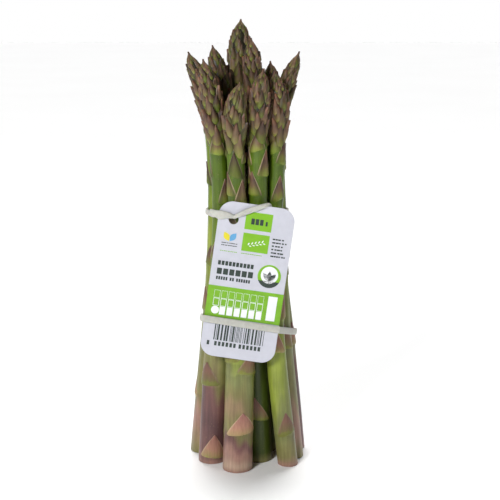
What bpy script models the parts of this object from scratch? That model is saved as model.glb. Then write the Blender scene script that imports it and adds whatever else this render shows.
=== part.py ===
"""A tied bundle of asparagus that stands on its cut ends.

Twelve spears lean together like a sheaf. Two rubber bands hold them, and a card tag
hangs in front of the stems: the upper band is hitched through its hole and round its
top edge, and the lower band presses it to the spears.

+Z is up, and the front of the bundle, where the tag hangs, faces -Y. The origin is on
the ground, under the middle of the bundle. Every length below is in millimetres, and
new_object() turns them into Blender's metres.
"""

import itertools
import math
from typing import NamedTuple

import bmesh
import bpy
from mathutils import Matrix, Vector

MILLIMETRE = 0.001

# Pieces that touch keep this gap.
CLEARANCE = 0.3

# The two rubber bands. A band's height is where its plane crosses the bundle's axis.
LOWER_BAND_Z = 72.0
LOWER_BAND_ROLL = math.radians(8.9)  # it sits lower on the right
LOWER_BAND_PITCH = math.radians(14.5)  # and higher in front
LOWER_BAND_WIDTH = 3.5
UPPER_BAND_Z = 132.5
UPPER_BAND_WIDTH = 3.0
BAND_THICKNESS = 1.1
BAND_POINT_STEP = 3.0
BAND_TURN_STEP = math.radians(10.0)
BAND_CORNER = 0.31  # how far a band's edges are rounded
SPEAR_SIDES = 48  # how many sides of a spear a band feels for

# The card tag, and the punched hole that the upper band runs through.
TAG_WIDTH = 38.2
TAG_LENGTH = 79.4
TAG_THICKNESS = 0.5
TAG_CORNER_RADIUS = 7.0
TAG_ROLL = math.radians(8.2)  # its top leans to the right
TAG_HOLE_RADIUS = 2.5
TAG_HOLE_FROM_LEFT = 7.8
TAG_HOLE_FROM_TOP = 8.9
TAG_CORNER_STEPS = 8
TAG_HOLE_STEPS = 24
TAG_REST_SAMPLES = 40

# Where the upper band is hitched to the tag it is stretched thin. It goes through the
# hole twice, side by side, and its wrap slants up to the tag's top edge.
HITCH_WIDTH = 1.7
HITCH_APART = 1.9
HITCH_ABOVE_HOLE = 0.7
HITCH_DIP = 0.9  # from the tag's left margin down to the hole
HITCH_SLANT = math.radians(30.0)  # from the tag's width

# Spears. The shaft tapers between these two heights, and leans away above the neck.
TAPER_START_Z = 28.0
TAPER_END_Z = 150.0
NECK_Z = 178.0
TIP_RADIUS = 0.5

# How the head swells and closes: share of its length, share of the way from the neck's
# radius to the head's, and the share of that radius that is left.
HEAD_OUTLINE = (
    (0.0, 0.0, 1.0),
    (0.18, 0.55, 1.0),
    (0.42, 1.0, 1.0),
    (0.62, 1.0, 0.95),
    (0.8, 1.0, 0.75),
    (0.93, 1.0, 0.42),
    (1.0, 1.0, 0.0),
)

# Scale leaves: raised triangles on the shaft, in a spiral, and a lattice on the head.
SPEAR_COLUMNS = 12
NODE_TURN_COLUMNS = 5
FIRST_NODE_Z = 14.0
NODE_STEP_AT_FOOT = 31.0
NODE_STEP_AT_HEAD = 13.0
SCALE_RISE = 0.7
SCALE_LIP = 0.8
SCALE_SHORTEST = 7.0
SCALE_LENGTH_PER_STEP = 0.3
HEAD_TIERS = 9
HEAD_SCALE_RISE = 0.55

# Where each spear is pushed clear of the next, the stations are this far apart.
STATION_STEP = 6.0
SETTLE_ROUNDS = 160
SMOOTHING_ROUNDS = 130
SMOOTHING = 0.3
SETTLE_MARGIN = 0.1


class Spear(NamedTuple):
    """One spear: its middle at the ground, at both bands, at its neck and at its tip."""

    name: str
    foot: tuple
    hip: tuple
    waist: tuple
    neck: tuple
    tip: tuple
    foot_radius: float
    neck_radius: float
    head_radius: float
    head_length: float
    first_column: int


SPEARS = (
    Spear(
        "spear_front", (-5.2, -21.4), (-3.4, -18.2), (-4.7, -14.2), (-5.3, -14.4),
        (-3, -15.2, 200), 7.8, 4.4, 6.2, 37, 9,
    ),
    Spear(
        "spear_front_left", (-18.8, -9.4), (-15.2, -9.8), (-13.2, -8.4), (-15.4, -9.6),
        (-21.6, -11, 211), 7.4, 4.3, 5.9, 44, 8,
    ),
    Spear(
        "spear_left", (-24.2, 4.8), (-18, 2.6), (-16, 0.8), (-18.4, 2), (-29.9, 2, 214),
        6.7, 4.2, 5.7, 42, 7,
    ),
    Spear(
        "spear_back_left", (-14, 17), (-12, 13.8), (-11.8, 9), (-10.8, 10), (-17.6, 9.5, 217),
        6.7, 4.2, 5.6, 42, 2,
    ),
    Spear(
        "spear_back", (0.6, 22.4), (0.2, 18.8), (-4.4, 14), (-4.2, 16.6), (-3.4, 18, 230),
        7.1, 4.5, 6.6, 44, 4,
    ),
    Spear(
        "spear_back_inner", (14.8, 18.8), (11.6, 14.4), (4.8, 13.6), (6.6, 14.6), (7, 15, 189),
        6.5, 4.2, 5.4, 36, 1,
    ),
    Spear(
        "spear_back_right", (25, 8.6), (18.2, 4.8), (12.8, 9.4), (12.4, 10.8), (11.3, 10, 209),
        6.2, 4.1, 5.0, 36, 10,
    ),
    Spear(
        "spear_right", (24, -4.6), (17.2, -6.2), (15.6, 1.6), (15.2, 3), (26, 6, 214),
        5.8, 4.0, 4.8, 42, 11,
    ),
    Spear(
        "spear_front_right", (21.6, -15), (14, -15.8), (13.4, -6.4), (14.9, -6.8), (13.4, -6, 205),
        5.3, 4.0, 5.5, 38, 8,
    ),
    Spear(
        "spear_front_inner", (6.2, -7.8), (4.4, -6.8), (6.1, -11.2), (5.2, -12.4), (7.6, -14, 206),
        7.0, 4.6, 5.7, 38, 9,
    ),
    Spear(
        "spear_middle_right", (9.8, 5.8), (7.4, 4.4), (4.4, 3.2), (3.4, 2.2), (1.8, 1, 221),
        6.0, 4.3, 5.6, 42, 3,
    ),
    Spear(
        "spear_middle_left", (-7, 4), (-4.6, 3.8), (-4.4, 3.6), (-4.6, 3.8), (-4, 4, 181),
        6.0, 4.2, 5.0, 36, 6,
    ),
)


def clear_scene():
    for old in list(bpy.data.objects):
        bpy.data.objects.remove(old)


def smoothstep(share):
    share = min(1.0, max(0.0, share))
    return share * share * (3 - 2 * share)


def mix(first, second, share):
    return first + (second - first) * share


def catmull_rom(before, start, end, after, share):
    """The point at share of the way from start to end, on a smooth curve through all four."""
    square, cube = share**2, share**3
    return 0.5 * (
        2 * start
        + (end - before) * share
        + (2 * before - 5 * start + 4 * end - after) * square
        + (3 * start - before - 3 * end + after) * cube
    )


# ---------------------------------------------------------------- where the spears run


def head_start(spear):
    return spear.tip[2] - spear.head_length


def bare_radius(spear, z):
    """A spear's radius at height z, without its scale leaves."""
    taper = smoothstep((z - TAPER_START_Z) / (TAPER_END_Z - TAPER_START_Z))
    radius = mix(spear.foot_radius, spear.neck_radius, taper)
    share = (z - head_start(spear)) / spear.head_length
    if share <= 0:
        return radius
    if share >= 1:
        return TIP_RADIUS
    for low, high in itertools.pairwise(HEAD_OUTLINE):
        if low[0] <= share <= high[0]:
            part = (share - low[0]) / (high[0] - low[0])
            swell = mix(low[1], high[1], part)
            left = mix(low[2], high[2], part)
            return max(TIP_RADIUS, mix(radius, spear.head_radius, swell) * left)


def drawn_centre(spear, z):
    """Where a spear's middle is drawn at height z, before the spears are pushed apart."""
    heights = (0.0, LOWER_BAND_Z, UPPER_BAND_Z, NECK_Z, spear.tip[2])
    places = [Vector(p[:2]) for p in (spear.foot, spear.hip, spear.waist, spear.neck, spear.tip)]
    last = len(heights) - 1
    z = min(z, heights[last])

    def slope(k):
        low, high = max(0, k - 1), min(last, k + 1)
        if k == last:
            # The lean grows steadily from the neck to the tip.
            return 2 * (places[k] - places[low]) / (heights[k] - heights[low]) - slope(low)
        return (places[high] - places[low]) / (heights[high] - heights[low])

    k = max(k for k in range(last) if heights[k] <= z)
    span = heights[k + 1] - heights[k]
    share = (z - heights[k]) / span
    leave, arrive = slope(k) * span, slope(k + 1) * span
    return (
        places[k].lerp(places[k + 1], smoothstep(share))
        + leave * share * (1 - share) ** 2
        - arrive * (1 - share) * share**2
    )


class Sheaf:
    """The spears pushed clear of each other, as the bands squeeze them together."""

    def __init__(self, spears):
        self.spears = spears
        tallest = max(spear.tip[2] for spear in spears)
        self.stations = [k * STATION_STEP for k in range(math.ceil(tallest / STATION_STEP) + 2)]
        self.shifts = {spear.name: [Vector((0, 0)) for _ in self.stations] for spear in spears}
        self.settle()

    def settle(self):
        radii = {s.name: [bare_radius(s, z) for z in self.stations] for s in self.spears}
        drawn = {s.name: [drawn_centre(s, z) for z in self.stations] for s in self.spears}
        for done in range(SETTLE_ROUNDS):
            for k, z in enumerate(self.stations):
                # A spear keeps its place for one station above its tip.
                beside = [s.name for s in self.spears if z < s.tip[2] + STATION_STEP]
                for one, other in itertools.combinations(beside, 2):
                    between = drawn[other][k] + self.shifts[other][k]
                    between -= drawn[one][k] + self.shifts[one][k]
                    need = radii[one][k] + radii[other][k] + CLEARANCE + SETTLE_MARGIN
                    push = between.normalized() * max(0.0, need - between.length) / 2
                    self.shifts[one][k] -= push
                    self.shifts[other][k] += push
            if done < SMOOTHING_ROUNDS:
                self.smooth()

    def smooth(self):
        """A spear is stiff, so the shift at a station is drawn towards its neighbours'."""
        for name, shifts in self.shifts.items():
            last = len(shifts) - 1
            middles = [
                (shifts[max(0, k - 1)] + shifts[min(last, k + 1)]) / 2 for k in range(last + 1)
            ]
            self.shifts[name] = [
                shift.lerp(middle, SMOOTHING)
                for shift, middle in zip(shifts, middles, strict=True)
            ]

    def centre(self, spear, z):
        shifts = self.shifts[spear.name]
        place = min(max(0.0, z / STATION_STEP), len(shifts) - 1.001)
        k = int(place)
        around = [shifts[min(max(0, k + step), len(shifts) - 1)] for step in (-1, 0, 1, 2)]
        return drawn_centre(spear, z) + catmull_rom(*around, place - k)

    def room(self, spear, z, angle):
        """How far a spear may reach at height z, towards angle, and stay clear of the others."""
        middle, radius = self.centre(spear, z), bare_radius(spear, z)
        limit = math.inf
        for other in self.spears:
            if other is spear or z > other.tip[2] + SCALE_RISE:
                continue
            between = self.centre(other, z) - middle
            share = (between.length - radius - bare_radius(other, z) - CLEARANCE) / 2
            slant = math.cos(angle - math.atan2(between.y, between.x))
            if slant > 0:
                limit = min(limit, (radius + max(0.0, share)) / slant)
        return limit

    def reach(self, z, direction):
        """How far the bare spears reach at height z, towards a flat direction."""
        return max(
            self.centre(spear, z) @ direction + bare_radius(spear, z)
            for spear in self.spears
            if z < spear.tip[2]
        )


# ----------------------------------------------------------------------- mesh building


def new_object(name, bm, material, parent):
    bmesh.ops.scale(bm, vec=(MILLIMETRE,) * 3, verts=bm.verts)
    bmesh.ops.recalc_face_normals(bm, faces=bm.faces)
    mesh = bpy.data.meshes.new(name)
    bm.to_mesh(mesh)
    bm.free()
    mesh.materials.append(material)
    mesh.shade_smooth()
    mesh.set_sharp_from_angle(angle=math.radians(35))
    made = bpy.data.objects.new(name, mesh)
    made.parent = parent
    bpy.context.scene.collection.objects.link(made)
    return made


def new_material(name, colour, roughness):
    material = bpy.data.materials.new(name)
    material.use_nodes = True
    shader = material.node_tree.nodes["Principled BSDF"]
    shader.inputs["Base Color"].default_value = (*colour, 1)
    shader.inputs["Roughness"].default_value = roughness
    shader.inputs["Metallic"].default_value = 0
    return material


def skin(bm, rings, closed):
    """Quads between rings of points. A closed skin joins its last ring to its first."""
    rows = [[bm.verts.new(point) for point in ring] for ring in rings]
    pairs = list(itertools.pairwise(rows))
    if closed:
        pairs.append((rows[-1], rows[0]))
    for low, high in pairs:
        for j in range(len(low)):
            k = (j + 1) % len(low)
            bm.faces.new((low[j], low[k], high[k], high[j]))
    if not closed:
        bm.faces.new(rows[0])
        bm.faces.new(rows[-1])


# ------------------------------------------------------------------------------ spears


def node_step(spear, z):
    return mix(NODE_STEP_AT_FOOT, NODE_STEP_AT_HEAD, smoothstep(z / head_start(spear)))


def band_zones(spear):
    """The two ranges of height where a band presses on a spear, its tilt counted in."""
    tilts = Vector((math.tan(LOWER_BAND_ROLL), math.tan(LOWER_BAND_PITCH)))
    middle = LOWER_BAND_Z - Vector(spear.hip) @ tilts
    half = LOWER_BAND_WIDTH / 2 + spear.foot_radius * (tilts.x + tilts.y)
    return (
        (middle - half, middle + half),
        (UPPER_BAND_Z - UPPER_BAND_WIDTH, UPPER_BAND_Z + UPPER_BAND_WIDTH),
    )


def shaft_scales(spear):
    """(height, column, length) of each scale leaf on the shaft, in a rising spiral. One that
    would be under a band comes just above it instead."""
    z, column = FIRST_NODE_Z + spear.first_column, spear.first_column
    while True:
        length = SCALE_SHORTEST + SCALE_LENGTH_PER_STEP * node_step(spear, z)
        for low, high in band_zones(spear):
            if low - length < z < high + 2 * SCALE_LIP:
                z = high + 2 * SCALE_LIP
        if z + length > head_start(spear):
            return
        yield z, column % SPEAR_COLUMNS, length
        z += max(node_step(spear, z), length + 2 * SCALE_LIP)
        column += NODE_TURN_COLUMNS


def scale_rows(z, column, length):
    """Rows of one scale leaf: (height, {column: rise}), a raised foot that narrows to a point."""
    lip = {column + side: SCALE_RISE for side in (-1, 0, 1)}
    lip.update({column + side: SCALE_RISE / 2 for side in (-2, 2)})
    middle = {column + side: SCALE_RISE * 0.6 for side in (-1, 1)}
    middle[column] = SCALE_RISE
    return (
        (z - SCALE_LIP, {}),
        (z, lip),
        (z + length / 2, middle),
        (z + length, {column: SCALE_RISE / 2}),
    )


def head_rows(spear):
    """Rows of the head's lattice of scale leaves, closer together towards the tip."""
    for tier in range(HEAD_TIERS):
        share = math.sin(math.pi / 2 * (tier + 0.5) / HEAD_TIERS)
        rise = HEAD_SCALE_RISE * min(1.0, 1.6 * (1 - share))
        yield (
            head_start(spear) + share * spear.head_length,
            {j: rise if (j + tier) % 2 else -rise for j in range(SPEAR_COLUMNS)},
        )


def spear_rows(spear):
    rows = [(0.0, {}), (head_start(spear), {}), (spear.tip[2], {})]
    rows += [(z, {}) for zone in band_zones(spear) for z in zone]
    for scale in shaft_scales(spear):
        rows += scale_rows(*scale)
    rows += head_rows(spear)
    return sorted(rows, key=lambda row: row[0])


def build_spear(sheaf, spear, material, parent):
    rings = []
    for z, rises in spear_rows(spear):
        rises = {column % SPEAR_COLUMNS: rise for column, rise in rises.items()}
        middle, ring = sheaf.centre(spear, z), []
        for j in range(SPEAR_COLUMNS):
            angle = 2 * math.pi * j / SPEAR_COLUMNS
            wanted = bare_radius(spear, z) + rises.get(j, 0.0)
            radius = min(wanted, sheaf.room(spear, z, angle))
            around = Vector((math.cos(angle), math.sin(angle)))
            ring.append((*(middle + around * radius), z))
        rings.append(ring)
    bm = bmesh.new()
    skin(bm, rings, closed=False)
    return new_object(spear.name, bm, material, parent)


# --------------------------------------------------------------------------------- tag


def tag_frame(sheaf):
    """The tag's place: local X is its width, local Y its length, and local Z its front."""
    upright = TAG_LENGTH / 2 * math.cos(TAG_ROLL)
    hole_above_middle = (TAG_LENGTH / 2 - TAG_HOLE_FROM_TOP) * math.cos(TAG_ROLL)
    hole_above_middle += (TAG_WIDTH / 2 - TAG_HOLE_FROM_LEFT) * math.sin(TAG_ROLL)
    middle_z = UPPER_BAND_Z - hole_above_middle
    front = Vector((0, -1))

    def need(z):
        """How far forward the tag's back has to be at height z."""
        behind = CLEARANCE + SCALE_RISE
        if z > UPPER_BAND_Z - UPPER_BAND_WIDTH:
            behind += BAND_THICKNESS + CLEARANCE
        return sheaf.reach(z, front) + behind

    low, high = middle_z - upright, middle_z + upright
    heights = [mix(low, high, k / TAG_REST_SAMPLES) for k in range(TAG_REST_SAMPLES + 1)]
    foot, top = need(low), need(high)
    lean = math.atan2(foot - top, high - low)
    proud = max(need(z) - mix(foot, top, (z - low) / (high - low)) for z in heights)
    middle_y = -(mix(foot, top, 0.5) + proud + TAG_THICKNESS / 2 / math.cos(lean))
    return (
        Matrix.Translation((0, middle_y, middle_z))
        @ Matrix.Rotation(-lean, 4, "X")
        @ Matrix.Rotation(TAG_ROLL, 4, "Y")
        @ Matrix.Rotation(math.pi / 2, 4, "X")
    )


def tag_outline():
    half_width = TAG_WIDTH / 2 - TAG_CORNER_RADIUS
    half_length = TAG_LENGTH / 2 - TAG_CORNER_RADIUS
    for corner, (x, y) in enumerate(((1, 1), (-1, 1), (-1, -1), (1, -1))):
        for step in range(TAG_CORNER_STEPS + 1):
            angle = math.pi / 2 * (corner + step / TAG_CORNER_STEPS)
            yield Vector(
                (
                    x * half_width + TAG_CORNER_RADIUS * math.cos(angle),
                    y * half_length + TAG_CORNER_RADIUS * math.sin(angle),
                )
            )


def tag_hole():
    return Vector((TAG_HOLE_FROM_LEFT - TAG_WIDTH / 2, TAG_LENGTH / 2 - TAG_HOLE_FROM_TOP))


def build_tag(frame, material, parent):
    """A rounded card with a punched hole: two faces with an edge loop inside each."""
    bm = bmesh.new()
    hole = [
        tag_hole() + TAG_HOLE_RADIUS * Vector((math.cos(angle), math.sin(angle)))
        for angle in (2 * math.pi * k / TAG_HOLE_STEPS for k in range(TAG_HOLE_STEPS))
    ]
    edges = []
    for loop in (list(tag_outline()), hole):
        verts = [bm.verts.new((*point, 0)) for point in loop]
        edges += [bm.edges.new((a, b)) for a, b in zip(verts, verts[1:] + verts[:1], strict=True)]
    bmesh.ops.triangle_fill(bm, use_beauty=True, edges=edges)
    bmesh.ops.recalc_face_normals(bm, faces=bm.faces)
    lifted = bmesh.ops.extrude_face_region(bm, geom=list(bm.faces))["geom"]
    raised = [item for item in lifted if isinstance(item, bmesh.types.BMVert)]
    bmesh.ops.translate(bm, vec=(0, 0, TAG_THICKNESS), verts=raised)
    bmesh.ops.translate(bm, vec=(0, 0, -TAG_THICKNESS / 2), verts=bm.verts)
    bmesh.ops.transform(bm, matrix=frame, verts=bm.verts)
    return new_object("tag", bm, material, parent)


# ------------------------------------------------------------------------------- bands


def hull_corner(points, direction):
    return max(points, key=lambda point: point @ direction)


def taut_loop(points, offset, start, end):
    """Points of a band pulled tight round flat points, offset outwards, between two angles."""
    steps = round((end - start) / BAND_TURN_STEP)
    loop = []
    for k in range(steps + 1):
        angle = mix(start, end, k / steps)
        outwards = Vector((math.cos(angle), math.sin(angle)))
        loop.append(hull_corner(points, outwards) + outwards * offset)
    return loop


def tangent_point(loop, seen_from, side):
    """Which point of a loop round the origin is the outermost one, seen from outside it."""

    def turn(k):
        towards = loop[k] - seen_from
        return side * math.atan2(towards.cross(seen_from), -(towards @ seen_from))

    return max(range(len(loop)), key=turn)


def split_long_spans(stops):
    """The same path, with stops added where two of its own are far apart."""
    split = []
    for a, b in itertools.pairwise(stops):
        count = max(1, round((b.point - a.point).length / BAND_POINT_STEP))
        split += [a.towards(b, k / count) for k in range(count)]
    return [*split, stops[-1]]


def band_rings(stops):
    """Rounded flat sections round a closed path."""
    rings = []
    for k, (point, across, width) in enumerate(stops):
        along = (stops[(k + 1) % len(stops)].point - stops[k - 1].point).normalized()
        across = (across - along * (across @ along)).normalized()
        out = along.cross(across)
        half, thick, corner = width / 2, BAND_THICKNESS / 2, BAND_CORNER
        section = (
            (half, thick - corner), (half - corner, thick), (corner - half, thick),
            (-half, thick - corner), (-half, corner - thick), (corner - half, -thick),
            (half - corner, -thick), (half, corner - thick),
        )
        rings.append([point + across * a + out * b for a, b in section])
    return rings


def build_lower_band(sheaf, frame, material, parent):
    """Pulled tight round the spears and the tag, in a plane that is tilted both ways."""
    plane = Matrix.Translation((0, 0, LOWER_BAND_Z))
    plane @= Matrix.Rotation(-LOWER_BAND_PITCH, 4, "X")
    plane @= Matrix.Rotation(LOWER_BAND_ROLL, 4, "Y")
    into_plane, normal = plane.inverted(), plane.to_3x3() @ Vector((0, 0, 1))
    flat = []
    for spear in sheaf.spears:
        for k, edge in itertools.product(range(SPEAR_SIDES), (-0.5, 0, 0.5)):
            angle = 2 * math.pi * k / SPEAR_SIDES
            around = Vector((math.cos(angle), math.sin(angle)))
            z = LOWER_BAND_Z
            for _ in range(4):
                # Where the spear's side meets the band's plane.
                side = sheaf.centre(spear, z) + around * bare_radius(spear, z)
                on_plane = plane @ Vector((0, 0, edge * LOWER_BAND_WIDTH))
                z = on_plane.z - (normal.xy @ (side - on_plane.xy)) / normal.z
            flat.append((into_plane @ Vector((*side, z))).xy)
    # The tag's two front edges, where they cross the band.
    for side, k in itertools.product((-0.5, 0.5), range(SPEAR_SIDES)):
        up_tag = mix(-0.5, 0.5, k / SPEAR_SIDES) * TAG_LENGTH
        edge_point = into_plane @ frame @ Vector((side * TAG_WIDTH, up_tag, TAG_THICKNESS / 2))
        if abs(edge_point.z) < LOWER_BAND_WIDTH:
            flat.append(edge_point.xy)
    loop = taut_loop(flat, CLEARANCE + BAND_THICKNESS / 2, 0, 2 * math.pi)
    stops = [Stop(plane @ Vector((*point, 0)), normal, LOWER_BAND_WIDTH) for point in loop]
    bm = bmesh.new()
    skin(bm, band_rings(split_long_spans(stops)[:-1]), closed=True)
    return new_object("lower_band", bm, material, parent)


class Stop(NamedTuple):
    """One place on a band's path: where it is, which way its width runs, and its width."""

    point: Vector
    across: Vector
    width: float

    def towards(self, other, share):
        return Stop(
            self.point.lerp(other.point, share),
            self.across.lerp(other.across, share),
            mix(self.width, other.width, share),
        )


def hitch_route(frame):
    """The upper band's way across the front of the tag and through its hole, up behind it,
    over its top edge, down its front and through the hole again."""
    side = TAG_THICKNESS / 2 + CLEARANCE + BAND_THICKNESS / 2
    hole, turned = tag_hole() + Vector((0, HITCH_ABOVE_HOLE)), frame.to_3x3()
    left, top = -TAG_WIDTH / 2, TAG_LENGTH / 2
    slope, rise = 1 / math.tan(HITCH_SLANT), top - hole.y
    level, edgeways = Vector((0, 1, 0)), Vector((-1, 0, 0))
    slanted = Vector((-math.sin(HITCH_SLANT), math.cos(HITCH_SLANT), 0))
    between = level.lerp(slanted, 0.5).normalized()
    wide, thin = UPPER_BAND_WIDTH, HITCH_WIDTH
    first, second = hole.x - HITCH_APART / 2, hole.x + HITCH_APART / 2

    def margin(x):
        """On the tag's left margin the band runs level, although the tag leans."""
        return hole.y + HITCH_DIP + (x - hole.x) * math.tan(TAG_ROLL)

    route = [
        ((left - 1.7, margin(left), -side), level, wide),
        ((left - 0.9, margin(left), side * 1.1), level, wide),
        ((left + 2.0, margin(left + 2), side), level, wide),
        ((first - 2.6, margin(first - 2), side), level, mix(wide, thin, 0.4)),
        ((first - 0.6, hole.y, side * 1.1), level, thin),
        ((first + 0.1, hole.y, side * 0.4), between, thin),
        ((first + 0.1, hole.y, -side * 0.4), between, thin),
        ((first + 0.5, hole.y + 0.6, -side * 1.1), slanted, thin),
        ((first + slope * rise * 0.5, hole.y + rise * 0.5, -side), slanted, thin),
        ((first + slope * rise * 0.8, top - 1.2, -side), edgeways, thin),
    ]
    for angle in map(math.radians, (60, 20, -20, -60)):
        up, out = 1.15 * side * math.cos(angle), -1.15 * side * math.sin(angle)
        route.append(((first + slope * rise, top + up, out), edgeways, thin))
    route += [
        ((second + slope * rise * 0.8, top - 1.2, side), edgeways, thin),
        ((second + slope * rise * 0.5, hole.y + rise * 0.5, side), slanted, thin),
        ((second + 0.5, hole.y + 0.6, side * 1.1), slanted, thin),
        ((second, hole.y, side * 0.4), between, thin),
        ((second, hole.y, -side * 0.4), between, thin),
        ((second + 0.7, hole.y, -side * 1.1), level, thin),
        ((second + 3.0, hole.y, -side * 1.1), level, thin),
    ]
    return [Stop(frame @ Vector(point), turned @ across, width) for point, across, width in route]


def cut_corners(stops):
    """The same path with each of its corners cut off; its two ends stay."""
    cut = [stops[0]]
    for a, b in itertools.pairwise(stops):
        cut += [a.towards(b, 0.25), a.towards(b, 0.75)]
    return [*cut, stops[-1]]


def build_upper_band(sheaf, frame, material, parent):
    """Level round the spears, with the hitch through the tag between its two ends."""
    up, flat = Vector((0, 0, 1)), []
    for spear, k, edge in itertools.product(sheaf.spears, range(SPEAR_SIDES), (-0.5, 0.0, 1.0)):
        angle, z = 2 * math.pi * k / SPEAR_SIDES, UPPER_BAND_Z + edge * UPPER_BAND_WIDTH
        around = Vector((math.cos(angle), math.sin(angle)))
        flat.append(sheaf.centre(spear, z) + around * bare_radius(spear, z))
    route = hitch_route(frame)
    start, end = route[-1].point, route[0].point
    # The band leaves the hitch behind the tag for the right of the bundle, and comes
    # back from the left of it, straight from where it lifts off the spears.
    loop = taut_loop(flat, CLEARANCE + BAND_THICKNESS / 2, math.radians(-90), math.radians(270))
    loop = loop[tangent_point(loop, start.xy, -1) : tangent_point(loop, end.xy, 1) + 1]
    ring = [Stop(Vector((*point, UPPER_BAND_Z)), up, UPPER_BAND_WIDTH) for point in loop]
    path = cut_corners(cut_corners([ring[-1], *route, ring[0]]))
    stops = split_long_spans([*ring[:-1], *path])[:-1]
    bm = bmesh.new()
    skin(bm, band_rings(stops), closed=True)
    return new_object("upper_band", bm, material, parent)


# ------------------------------------------------------------------------------ bundle


def centre_on_origin(parent, pieces):
    """Moves the bundle so that the middle of its box is over the origin."""
    bpy.context.view_layer.update()
    corners = [piece.matrix_world @ Vector(c) for piece in pieces for c in piece.bound_box]
    for axis in range(2):
        values = [corner[axis] for corner in corners]
        parent.location[axis] = -(min(values) + max(values)) / 2


def main():
    clear_scene()
    bundle = bpy.data.objects.new("asparagus_bundle", None)
    bpy.context.scene.collection.objects.link(bundle)
    green = new_material("spear", (0.23, 0.33, 0.09), 0.5)
    rubber = new_material("band", (0.86, 0.86, 0.82), 0.6)
    card = new_material("tag", (0.88, 0.88, 0.9), 0.55)
    sheaf = Sheaf(SPEARS)
    frame = tag_frame(sheaf)
    pieces = [build_spear(sheaf, spear, green, bundle) for spear in SPEARS]
    pieces.append(build_tag(frame, card, bundle))
    pieces.append(build_lower_band(sheaf, frame, rubber, bundle))
    pieces.append(build_upper_band(sheaf, frame, rubber, bundle))
    centre_on_origin(bundle, pieces)


main()
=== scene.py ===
import itertools
import math
import random
from collections import namedtuple

import bmesh
import bpy
import numpy as np
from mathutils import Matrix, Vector, geometry, noise


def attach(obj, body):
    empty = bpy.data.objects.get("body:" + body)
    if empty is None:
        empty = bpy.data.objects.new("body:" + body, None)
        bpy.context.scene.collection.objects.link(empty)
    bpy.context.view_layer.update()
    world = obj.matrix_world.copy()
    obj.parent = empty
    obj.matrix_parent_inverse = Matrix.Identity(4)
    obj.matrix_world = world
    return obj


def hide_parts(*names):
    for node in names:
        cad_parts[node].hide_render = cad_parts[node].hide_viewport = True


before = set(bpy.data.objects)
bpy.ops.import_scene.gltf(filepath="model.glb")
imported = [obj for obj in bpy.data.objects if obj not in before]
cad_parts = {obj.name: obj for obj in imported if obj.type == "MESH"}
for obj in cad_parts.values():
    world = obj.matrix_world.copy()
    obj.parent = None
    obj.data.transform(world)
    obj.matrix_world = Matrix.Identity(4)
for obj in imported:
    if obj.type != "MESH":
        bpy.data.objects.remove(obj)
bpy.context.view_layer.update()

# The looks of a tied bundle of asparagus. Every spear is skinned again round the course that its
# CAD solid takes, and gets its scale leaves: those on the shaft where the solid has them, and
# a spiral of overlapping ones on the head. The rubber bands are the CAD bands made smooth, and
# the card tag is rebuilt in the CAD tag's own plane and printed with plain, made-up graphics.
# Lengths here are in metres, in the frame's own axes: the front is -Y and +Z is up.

MM = 0.001

# ------------------------------------------------------------------------------ colours


def srgb(red, green, blue):
    """A colour given as 0 to 255 values, as the linear values that shaders take."""
    return tuple(
        c / 12.92 if c <= 0.04045 else ((c + 0.055) / 1.055) ** 2.4
        for c in (red / 255, green / 255, blue / 255)
    )


CREAM = srgb(186, 158, 136)
PINK = srgb(160, 122, 108)
TAWNY = srgb(146, 122, 90)
MAUVE = srgb(116, 80, 76)
PURPLE = srgb(90, 62, 62)
OLIVE = srgb(126, 120, 72)
SAGE = srgb(124, 128, 76)
LIGHT_GREEN = srgb(136, 148, 58)
LEAF_GREEN = srgb(100, 122, 28)
GREEN = srgb(80, 104, 16)
DEEP_GREEN = srgb(66, 80, 22)
# Painted shading: the skin's colour in the gaps between the head's leaves.
PAINTED_SHADE = srgb(36, 33, 20)

# Scale leaves on the shafts that show at the front or fill the gap to the next spear: (height
# in millimetres, degrees to the right of the front). The hidden ones follow the CAD solids.
SHAFT_SCALES = {
    "spear_front": (
        (20.6, 18), (52, 45), (58, -58), (100, 10), (124, -40), (139, 45), (143.5, -60),
        (147, 105), (153, -5), (160, 100),
    ),
    "spear_front_left": (
        (3.5, 5), (43, -45), (74, 30), (110, -20), (139, 42), (152, -110), (163.6, 0),
    ),
    "spear_left": ((33, -120), (80, -70), (104, -35), (147, -80), (160, 60)),
    "spear_front_inner": (
        (24, -10), (60, 40), (100, 0), (143.4, -40), (149, -105), (153, 60), (159, -100), (166, -10),
    ),
    "spear_front_right": (
        (18, 20), (63, 0), (90, 30), (120, -20), (140, 20), (158, 50), (164, -30),
    ),
    "spear_right": ((62, 20), (100, 50), (128, 10), (154, 80), (168, 0)),
    "spear_back_right": ((60, 60), (130, 70), (150, 90), (163, 60)),
    "spear_middle_left": ((126, 80), (137, 88), (147, 95)),
    "spear_middle_right": ((134, -85), (144, -95), (154, -85), (165, -70)),
    "spear_back": ((138, 95), (149, 85), (160, 95)),
}

# The skin's colour up each kind of spear: (height in millimetres, colour).
BLUSHED = (
    (0, PINK), (3, CREAM), (7, PINK), (12, MAUVE), (18, OLIVE), (27, TAWNY), (36, OLIVE), (46, SAGE),
    (62, LIGHT_GREEN), (100, LEAF_GREEN), (150, GREEN),
)
PURPLED = (
    (0, PINK), (6, MAUVE), (24, PURPLE), (40, MAUVE), (52, OLIVE), (70, SAGE), (100, LEAF_GREEN),
    (150, GREEN),
)
FAWN = ((0, OLIVE), (14, PINK), (30, OLIVE), (60, SAGE), (100, LIGHT_GREEN), (150, LEAF_GREEN))
FRESH = (
    (0, PINK), (6, OLIVE), (22, SAGE), (44, LIGHT_GREEN), (72, LIGHT_GREEN), (110, LEAF_GREEN),
    (150, GREEN),
)
# SHADED is painted shading: a deeper green for the spears that stand in shadow between the others.
SHADED = ((0, OLIVE), (6, DEEP_GREEN), (60, DEEP_GREEN), (110, GREEN), (150, GREEN))

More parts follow.
